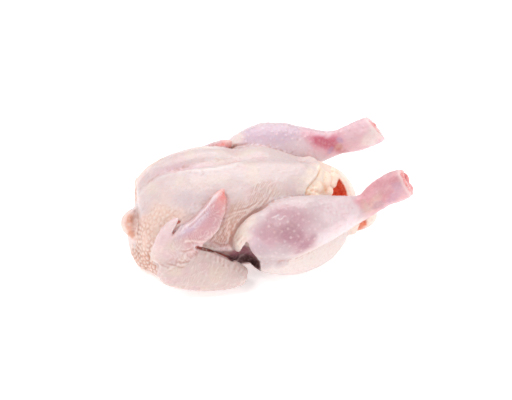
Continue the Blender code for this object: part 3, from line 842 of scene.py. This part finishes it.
# Colours of the skin: cream with mottling, mauve over the leg muscles, pink wings, and the small patches that
# veins, bruises and thin places make. Among them is painted shade beside the right hand, in the breast's groove,
# low on the trunk and in the forearms' creases, and painted highlights along the keel and the hands' leading
# edges
SKIN_TONE = (221, 200, 199)
DEEPENED = (0.94, 0.955, 0.965)
colours = np.tile(srgb(*SKIN_TONE), (len(points), 1))


def tint(amount, *levels):
    """Mixes a colour into the skin by a share for each point."""
    amount = np.clip(amount, 0, 1)[:, None]
    colours[:] = colours * (1 - amount) + np.array(srgb(*levels)) * amount


tint(0.60 * mottled(0.018, 21, 0.0, 0.8), 219, 184, 186)
tint(0.60 * mottled(0.013, 22, 0.1, 0.8), 226, 208, 192)
tint(0.50 * mottled(0.008, 26, 0.15, 0.8), 210, 192, 196)
tint(0.30 * mottled(0.0032, 23, 0.1, 0.9), 232, 218, 214)
# Painted shade, lilac grey, on the breast beside the right hand's leading edge
lilac_shade = patch(14, ((-69, -42.5, 76.7), (-57, -51, 75.7), (-45, -55.5, 76.5), (-62.7, -53, 74.1)), 24)
tint(0.45 * lilac_shade * bare, 200, 182, 188)
# Pink tone and painted shade along the breast's groove
tint(groove * 0.55 * ease(x, -0.105, -0.075), 222, 182, 196)
# Painted highlight along the keel ridge
tint(keel_highlight * 0.45, 238, 230, 230)
# Tan skin and painted shade, patchy, low on the trunk away from the limbs
low_tan_and_shade = ease(noise(0.012, 25) + 0.3 * (z < 0.05), 0, 1)
tint(0.40 * low_tan_and_shade * bare * ease(0.075 - z, 0, 0.03), 214, 174, 156)
for side, turn_up in zip(SIDES, (1, -1)):
    drum, forearm, thumb = (on[side, part] for part in ("drum", "forearm", "thumb"))
    along, turn, _ = place[side, "drum"]
    up = -np.cos(turn) * turn_up
    tint(on[side, "thigh"] * 0.8, 236, 222, 218)
    tint(drum * 0.95, 234, 218, 214)
    tint(drum * ease(up, -0.75, -0.1) * 0.85, 212, 184, 190)
    tint(drum * ease(up, 0.55, 0.95) * (1 - ease(along, 0.085, 0.105)) * 0.6, 220, 200, 200)
    tint(drum * ease(along, 0.100, 0.118) * 0.8, 220, 158, 166)
    if side == "left":
        tint(drum * 0.35, 246, 222, 232)
    along = place[side, "knee_fold"][0] / limbs[side, "knee_fold"].length
    tint(on[side, "knee_fold"] * ease(along, 0.35, 0.75) * 0.85, 234, 212, 200)
    tint(np.maximum(forearm, on[side, "hand"]) * 0.85, 216, 192, 186)
    along, turn, height = place[side, "hand"]
    back = np.cos(turn) * turn_up
    hand = on[side, "hand"] * ease(along, 0.014, 0.036)
    wrist = np.maximum(on[side, "hand"], forearm) - hand
    tip = 1 - ease(height, 0.0002, 0.0016)
    tint(hand * 0.85, 206, 150, 158)
    tint(thumb * ease(place[side, "thumb"][0], 0.002, 0.018) * 0.8, 228, 194, 198)
    # Pale skin with a painted highlight along the hand's leading edge, and a bluish painted glint in a band
    # between that edge and the hand's middle
    tint(hand * ease(-back, 0.45, 0.95) * 0.8, 226, 206, 214)
    tint(hand * bell(back + 0.45, 0.22) * (1 - ease(along, 0.055, 0.070)) * 0.55, 206, 196, 220)
    tint(wrist * mottled(0.009, 28, -0.1, 0.6) * 0.5, 228, 208, 190)
    tint(wrist * mottled(0.008, 29, 0.0, 0.6) * 0.5, 214, 178, 184)
    tint(hand * ease(back, 0.72, 0.98) * 0.45, 238, 206, 204)
    tint(tip * ease(along, 0.056, 0.072) * 0.75, 236, 164, 162)
    tint(tip * ease(along, 0.071, 0.082) * 0.9, 244, 132, 122)
    # Painted shade, tan brown, in the forearm's wrinkles and between its ridges
    tint(crease_shade * forearm * 0.55, 196, 152, 138)
tint(on["tail", "tail"] * 0.7, 246, 230, 218)

# Patches of colour where veins, bruises, fat and thin places show through the skin, and painted shade low on the
# right thigh and on the sides between the wings and the knees
right_leg = np.maximum.reduce([on["right", part] for part in LEG])
left_leg = np.maximum(on["left", "drum"], on["left", "thigh"])
for size, amount, levels, seed, places in RIGHT_LEG_PATCHES:
    tint(amount * right_leg * patch(size, places, seed), *levels)
netted = patch(12, ((50.9, -71.5, 76.6), (57.6, -73.6, 71.1), (65.8, -68.1, 73.1), (60, -76.3, 63.4)), 67)
tint(0.18 * netted * on["right", "drum"] * wrinkles(0.0030, 1.3, (1, 0, 0), 66), 206, 132, 150)
for size, amount, levels, seed, places in LEFT_LEG_PATCHES:
    tint(amount * left_leg * patch(size, places, seed), *levels)
for size, amount, levels, seed, places in TRUNK_PATCHES:
    for side in SIDES:
        tint(amount * bare * patch(size, on_side(side, (0, 0, 0), places), seed), *levels)
tint(0.7 * shoulder * bare, 234, 200, 180)
tint(tan * 0.95, 210, 138, 98)
# Painted shade between the strands drawn from the knees
tint(drawn * bare * (1 - np.maximum(strands, upright)) * 0.30, 200, 150, 128)
flap = on["neck", "flap"]
flap_face = flap * ease(z, 0.022, 0.032) * patch(16, ((-119, -12, 42), (-118, -22, 36)), 56)
tint(flap_face * 0.85, 246, 216, 204)
flap_flush = patch(5.2, ((-116.5, -16.5, 45.5), (-117, -19, 40), (-116, -21.5, 34.5)), 61)
tint(flap * 0.9 * flap_flush, 222, 154, 124)
# Tints along the folds: painted shade in the creases, pale skin with painted highlights on raised folds, and the
# painted glint on the drumstick
for amount, levels in folded:
    tint(amount, *levels)

# Painted shade in hollows and gaps, darkest deep in them, and painted highlights on fine ridges
tint(0.65 * ease(fine_hollow, 0.00002, 0.00016) * outside, 200, 150, 138)
tint(0.45 * ease(-fine_hollow, 0.00003, 0.00016) * outside * (1 - 0.75 * drums), 240, 224, 220)
tint(0.50 * ease(wide_hollow, 0.0005, 0.0022) * outside, 200, 146, 132)
tint(0.75 * ease(wide_hollow, 0.0012, 0.0030) * outside * (1 - lumpy["vent_fat"]), 152, 82, 66)
# Painted shade, warm red brown, on the walls of the gaps above the right forearm and between the right thumb and
# hand
gap_wall_shade = np.max([1 - ease(gap.place(points)[2], 0.0003, 0.0013) for gap in gaps[:2]], axis=0)
gap_wall_shade = gap_wall_shade * (1 - ease(x, -0.030, -0.022)) * ease(wide_hollow, 0.0002, 0.0009)
tint(gap_wall_shade * 0.85, 206, 96, 80)
# Painted shadow under the lifted edge of the breast's skin, and a painted highlight along that edge
tint(shadow * 0.5, 226, 166, 126)
tint(edge * 0.8, 246, 234, 228)
colours *= DEEPENED

# Colours round the vent and on the tail: cream and peach where fat shows through, with painted orange shade in
# the hollows of the fat and round the vent
edge_path = np.array(SKIN_EDGE)[::-1] / 1000
behind = x - np.interp(y, edge_path[:, 1], edge_path[:, 0])
vent = ease(behind, -0.0012, 0.0004) * (1 - ease(np.abs(y), 0.036, 0.044))
vent = vent * bare * ease(z, 0.03, 0.045) * (1 - edge)
fat = lumpy["vent_fat"]
tint(vent * 0.9, 252, 230, 214)
tint(fat * 0.9, 255, 230, 212)
# Painted orange shade in the hollows between the fat's lumps and in the fine hollows round the vent
tint(fat * ease(wide_hollow, 0.0002, 0.0012) * 0.65, 246, 180, 138)
tint(fat * ease(fine_hollow, 0.00002, 0.00018) * 0.45, 238, 182, 140)
tint(vent * ease(fine_hollow, 0.00003, 0.00020) * 0.45, 236, 180, 142)
tint(fat * patch(6, ((56, -27, 70), (54.5, -33, 65)), 27) * 0.6, 240, 186, 142)
tint(lumpy["tail"] * 0.7, 244, 226, 212)
tint(0.9 * patch(5.5, ((96.2, -14, 27), (96.2, -16.5, 21), (93.5, -18.5, 16.5)), 58), 226, 122, 84)

# Colours of the cut hocks: a pale rim of skin round wet, red flesh, with painted shade in the flesh's crevices
# and painted highlights on its knuckles
for side, (centre, way, up, near) in cuts.items():
    end = ease(place[side, "drum"][0], 0.135, 0.140) * (on[side, "drum"] + lumpy[side + "_hock_end"] > 0.3)
    gap = (points - centre) @ way + 0.0005 * noise(0.003, 82)
    flesh = end * ease(gap, -0.0012, -0.0002)
    if side == "left":
        high = ease(z - centre[2], 0.000, 0.005)
        flesh = flesh * np.maximum(high, ease((points - centre) @ near, -0.001, 0.003))
    lumpy[side + "_hock_end"] = flesh
    tint(end * bell(gap + 0.0022, 0.0013) * 0.55, 246, 220, 216)
    tint(flesh * 0.95, 218, 112, 116)
    # Painted shade in the flesh's crevices and a painted highlight on its knuckles
    tint(flesh * ease(fine_hollow, 0.00002, 0.00020) * 0.9, 180, 56, 66)
    tint(flesh * ease(-fine_hollow, 0.00002, 0.00020) * 0.6, 244, 178, 172)

# Painted shade in the pocket behind the knee, mauve brown and near black low down, and the colours of the body
# cavity
POCKET_SHADE = ((-27, -60, 26), (-19, -55, 16), (-11, -58, 14), (-20, -57, 29), (-14, -56, 22))
pocket_shade = patch(10, POCKET_SHADE, 57, ragged=0.15)
pocket_shade = pocket_shade * ease(y, -0.0735, -0.0690) * ease(wide_hollow, -0.0012, -0.0002)
dot_colours[:, 3] *= 1 - pocket_shade
tint(pocket_shade * 0.95, 156, 98, 110)
tint(pocket_shade * ease(0.0275 - z - 0.3 * (x + 0.02), 0, 0.007), 66, 28, 30)
tint(inside, 255, 134, 92)
tint(inside * mottled(0.005, 59, 0.0, 0.7) * 0.6, 236, 84, 58)


class Wire:
    """A socket of a shader, for shader maths written as plain expressions."""

    def __init__(self, tree, socket=None):
        self.tree = tree
        self.socket = socket

    def node(self, kind, settings=None, values=None, out=0):
        """Adds a node with its settings and its sockets' values or links, and gives the socket it puts out."""
        made = self.tree.nodes.new("ShaderNode" + kind)
        for name, value in (settings or {}).items():
            setattr(made, name, value)
        for name, value in (values or {}).items():
            if isinstance(value, Wire):
                self.tree.links.new(value.socket, made.inputs[name])
            else:
                made.inputs[name].default_value = value
        return Wire(self.tree, made.outputs[out])

    def maths(self, operation, *values):
        return self.node("Math", {"operation": operation}, dict(enumerate(values)))

    def __add__(self, other):
        return self.maths("ADD", self, other)

    def __sub__(self, other):
        return self.maths("SUBTRACT", self, other)

    def __rsub__(self, other):
        return self.maths("SUBTRACT", other, self)

    def __mul__(self, other):
        return self.maths("MULTIPLY", self, other)

    __radd__ = __add__
    __rmul__ = __mul__

    def step(self, low, high):
        """0 below low and 1 above high, with a soft step between them."""
        settings = {"interpolation_type": "SMOOTHSTEP"}
        return self.node("MapRange", settings, {"Value": self, "From Min": low, "From Max": high})

    def mixed(self, amount, *levels):
        """This colour with another one mixed in by a share."""
        return self.node("Mix", {"data_type": "RGBA"}, {0: amount, 6: self, 7: (*srgb(*levels), 1)}, 2)

    def layer(self, name, out=0):
        """The colour, the vector or the share that a layer of the mesh holds."""
        return self.node("Attribute", {"attribute_name": name}, out=out)

    def mottling(self, spot, scale, detail=4.0):
        return self.node("TexNoise", values={"Vector": spot, "Scale": scale, "Detail": detail, "Roughness": 0.6})

    def into(self, shader, name):
        """Feeds this wire into a socket of the finished shader."""
        self.tree.links.new(self.socket, shader.inputs[name])

    def raises(self, shader):
        """Uses this wire as the height of fine relief, in metres."""
        bump = self.node("Bump", values={"Height": self, "Distance": 1.0, "Strength": 0.8})
        bump.into(shader, "Normal")


def new_look(name, values):
    """A material with these values. Gives it, its shader and a wire on it."""
    look = bpy.data.materials.new(name)
    look.use_nodes = True
    shader = look.node_tree.nodes["Principled BSDF"]
    for socket, value in values.items():
        shader.inputs[socket].default_value = value
    return look, shader, Wire(look.node_tree)


def moist(roughness, coat, coat_roughness, depth):
    """The values of a moist material with light scattered to a depth under its surface."""
    return {
        "Roughness": roughness,
        "Coat Weight": coat,
        "Coat Roughness": coat_roughness,
        "Subsurface Weight": 0.3,
        "Subsurface Radius": (1.0, 0.45, 0.35),
        "Subsurface Scale": depth,
    }


# Trunk, legs, wings, neck flap and tail: moist skin with pores, fine lines and pale pimples. It is dull and
# without gloss deep in the gaps.
skin_look, shader, wire = new_look("moist skin", moist(0.45, 0.25, 0.2, 0.003))
spot = wire.node("TexCoord", out=3)
far = wire.node("VectorMath", {"operation": "LENGTH"}, {0: wire.layer("follicle", 1)}, 1)
radius = wire.layer("follicle", 3)
dot = (radius - far).step(-0.8, 0.9) * radius.step(0.3, 0.5)
phase, depth, deep = (wire.node("SeparateXYZ", values={0: wire.layer("grain", 1)}, out=k) for k in range(3))
ridge = wire.maths("SINE", phase * (2 * math.pi))
mottle = wire.mottling(spot, 420.0)
fine = wire.mottling(spot, 1500.0, 2.0)
pores = wire.node("TexVoronoi", {"feature": "DISTANCE_TO_EDGE"}, {"Vector": spot, "Scale": 900.0})
tone = wire.layer("flesh_tone").mixed(mottle.step(0.45, 0.75) * 0.25, 226, 186, 184)
dotted_tone = {0: dot * wire.layer("dot_tone", 3), 6: tone, 7: wire.layer("dot_tone")}
tone = wire.node("Mix", {"data_type": "RGBA"}, dotted_tone, 2)
tone = tone.mixed(ridge.step(0.2, 1.0) * depth * 0.28, 248, 230, 226)
tone = tone.mixed(ridge.step(-0.2, -1.0) * depth * 0.22, 196, 130, 128)
tone.into(shader, "Base Color")
(mottle.step(0.35, 0.7) * 0.18 + fine * 0.12 + 0.25 + deep * 0.5).into(shader, "Roughness")
((1 - deep) * 0.25).into(shader, "Coat Weight")
relief = dot * 0.00016 + ridge * depth * 0.00014 + fine * 0.00010 + mottle * 0.00022
(relief + pores.step(0.0, 0.25) * 0.00005).raises(shader)

# Vent fat: soft cream fat in small globules, peach where it is thick, with a dull, moist face
fat_look, shader, wire = new_look("soft fat", moist(0.42, 0.3, 0.2, 0.004))
spot = wire.node("TexCoord", out=3)
settings = {"Vector": spot, "Scale": 520.0, "Smoothness": 0.5}
globules = wire.node("TexVoronoi", {"feature": "SMOOTH_F1"}, settings)
mottle = wire.mottling(spot, 380.0)
wire.layer("flesh_tone").mixed(mottle.step(0.5, 0.75) * 0.35, 240, 190, 150).into(shader, "Base Color")
(mottle * 0.2 + 0.3).into(shader, "Roughness")
(mottle * 0.0005 - globules * 0.0003).raises(shader)

# Body cavity and hock ends: wet, red flesh in fine fibres. It glows a little in its own colour, which is painted
# light that brightens it where it lies in shade.
flesh_look, shader, wire = new_look("wet flesh", moist(0.3, 0.5, 0.1, 0.002))
spot = wire.node("TexCoord", out=3)
stretched = wire.node("VectorMath", {"operation": "MULTIPLY"}, {0: spot, 1: (0.5, 1.0, 1.0)})
fibres = wire.mottling(stretched, 900.0, 3.0)
mottle = wire.mottling(spot, 300.0)
tone = wire.layer("flesh_tone").mixed(mottle.step(0.48, 0.68) * 0.5, 188, 50, 52)
tone = tone.mixed(fibres.step(0.5, 0.75) * 0.35, 248, 190, 176)
tone.into(shader, "Base Color")
# Painted light: the flesh glows faintly in its own colour
tone.into(shader, "Emission Color")
shader.inputs["Emission Strength"].default_value = 0.10
(fibres * 0.3 + 0.12).into(shader, "Roughness")
(fibres * 0.0004 + mottle * 0.0005).raises(shader)

# The pieces. The bird's surface is one sheet, which is cut into its regions here so that each keeps a fine
# mesh. Every region takes its normals from the whole sheet, so the cuts don't show.
LIMB_REACH = 0.0022
SLOTS = {"body_cavity": "flesh", "vent_fat": "fat", "right_hock_end": "flesh", "left_hock_end": "flesh"}
LOOKS = {"skin": skin_look, "fat": fat_look, "flesh": flesh_look}
regions = ["trunk", "right_leg", "left_leg", "right_wing", "left_wing", "neck_flap", "tail", *SLOTS]
best = np.full(len(points), LIMB_REACH)
owner = np.zeros(len(points), int)
for (side, part), (_, _, height) in place.items():
    region = {"neck": "neck_flap", "tail": "tail"}.get(side, side + ("_leg" if part in LEG else "_wing"))
    owner = np.where(height < best, regions.index(region), owner)
    best = np.minimum(best, height)
for name in SLOTS:
    owner[(inside if name == "body_cavity" else lumpy[name]) > 0.5] = regions.index(name)
whole_share = np.ones(len(points))
deep = np.maximum(pocket_shade, ease(wide_hollow, 0.0012, 0.0030))
layers = {
    "flesh_tone": np.column_stack([colours, whole_share]),
    "follicle": follicle,
    "dot_tone": dot_colours,
    "grain": np.column_stack([grain_phase, grain_depth, deep, whole_share]),
}


def region_of_skin(name, faces, slot):
    """One region of the sheet as a piece of its own, with its share of every layer."""
    kept, corners = np.unique(faces, return_inverse=True)
    mesh = bpy.data.meshes.new(name)
    mesh.vertices.add(len(kept))
    mesh.vertices.foreach_set("co", (points[kept] - middle).astype(np.float32).ravel())
    mesh.loops.add(faces.size)
    mesh.loops.foreach_set("vertex_index", corners.astype(np.int32).ravel())
    mesh.polygons.add(len(faces))
    mesh.polygons.foreach_set("loop_start", np.arange(0, faces.size, 4, dtype=np.int32))
    for layer, values in layers.items():
        held = mesh.color_attributes.new(layer, "FLOAT_COLOR", "POINT")
        held.data.foreach_set("color", values[kept].astype(np.float32).ravel())
    mesh.update()
    mesh.shade_smooth()
    mesh.normals_split_custom_set_from_vertices(normals[kept].astype(np.float32))
    mesh.materials.append(LOOKS[slot])
    piece = bpy.data.objects.new(name, mesh)
    scene.collection.objects.link(piece)
    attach(piece, "root")
    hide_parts("chicken")


for at, name in enumerate(regions):
    region_of_skin(name, quads[owner[quads[:, 0]] == at], SLOTS.get(name, "skin"))
bpy.data.objects.remove(skin)

# Table top, lamps and camera. A plain white surface under soft studio panels, seen from the bird's right
# side and a little from above.
FLOOR_SIZE = 6.0
AZIMUTH, ELEVATION, DISTANCE, LENS = math.radians(-9.0), math.radians(31.0), 1.45, 112.15
AIM = Vector((0, 0, 0.045)) - Vector(middle)
# Place, size, power and colour of each panel
PANELS = {
    "high panel": ((0.05, 0.80, 1.10), 1.1, 9.6, (1.0, 0.99, 0.98)),
    "front panel": ((0.3, -1.3, 0.45), 1.0, 4.5, (1.0, 0.99, 0.99)),
    "rear panel": ((1.0, -0.1, 0.65), 0.6, 1.6, (1.0, 0.99, 0.99)),
    "left panel": ((-1.0, 0.0, 0.75), 0.6, 3.2, (1.0, 1.0, 1.0)),
    "small panel": ((-0.40, -0.45, 0.95), 0.16, 1.8, (1.0, 1.0, 1.0)),
}
WHITE_TABLE = {
    "Base Color": (0.97, 0.97, 0.975, 1),
    "Roughness": 0.6,
    "Emission Color": (1, 1, 1, 1),
    "Emission Strength": 0.36,
}

floor_mesh = bpy.data.meshes.new("floor")
floor_form = bmesh.new()
bmesh.ops.create_grid(floor_form, x_segments=1, y_segments=1, size=FLOOR_SIZE / 2)
floor_form.to_mesh(floor_mesh)
floor_form.free()
floor = bpy.data.objects.new("floor", floor_mesh)
scene.collection.objects.link(floor)
floor.data.materials.append(new_look("white table", WHITE_TABLE)[0])

scene.world = bpy.data.worlds.new("studio")
scene.world.use_nodes = True
surround = scene.world.node_tree.nodes["Background"].inputs
surround["Color"].default_value, surround["Strength"].default_value = (1.0, 0.99, 0.985, 1), 0.54

for name, (spot, size, power, colour) in PANELS.items():
    panel = bpy.data.lights.new(name, "AREA")
    panel.size, panel.energy, panel.color = size, power, colour
    lamp = bpy.data.objects.new(name, panel)
    lamp.location = spot
    lamp.rotation_euler = (AIM - Vector(spot)).to_track_quat("-Z", "Y").to_euler()
    scene.collection.objects.link(lamp)

level = math.cos(ELEVATION)
back = Vector((math.sin(AZIMUTH) * level, -math.cos(AZIMUTH) * level, math.sin(ELEVATION)))
lens = bpy.data.cameras.new("camera")
lens.lens, lens.sensor_width, lens.clip_start = LENS, 36, 0.05
camera = bpy.data.objects.new("camera", lens)
camera.location = AIM + back * DISTANCE
camera.rotation_euler = (-back).to_track_quat("-Z", "Y").to_euler()
scene.collection.objects.link(camera)
scene.camera = camera
scene.view_settings.view_transform = "Standard"
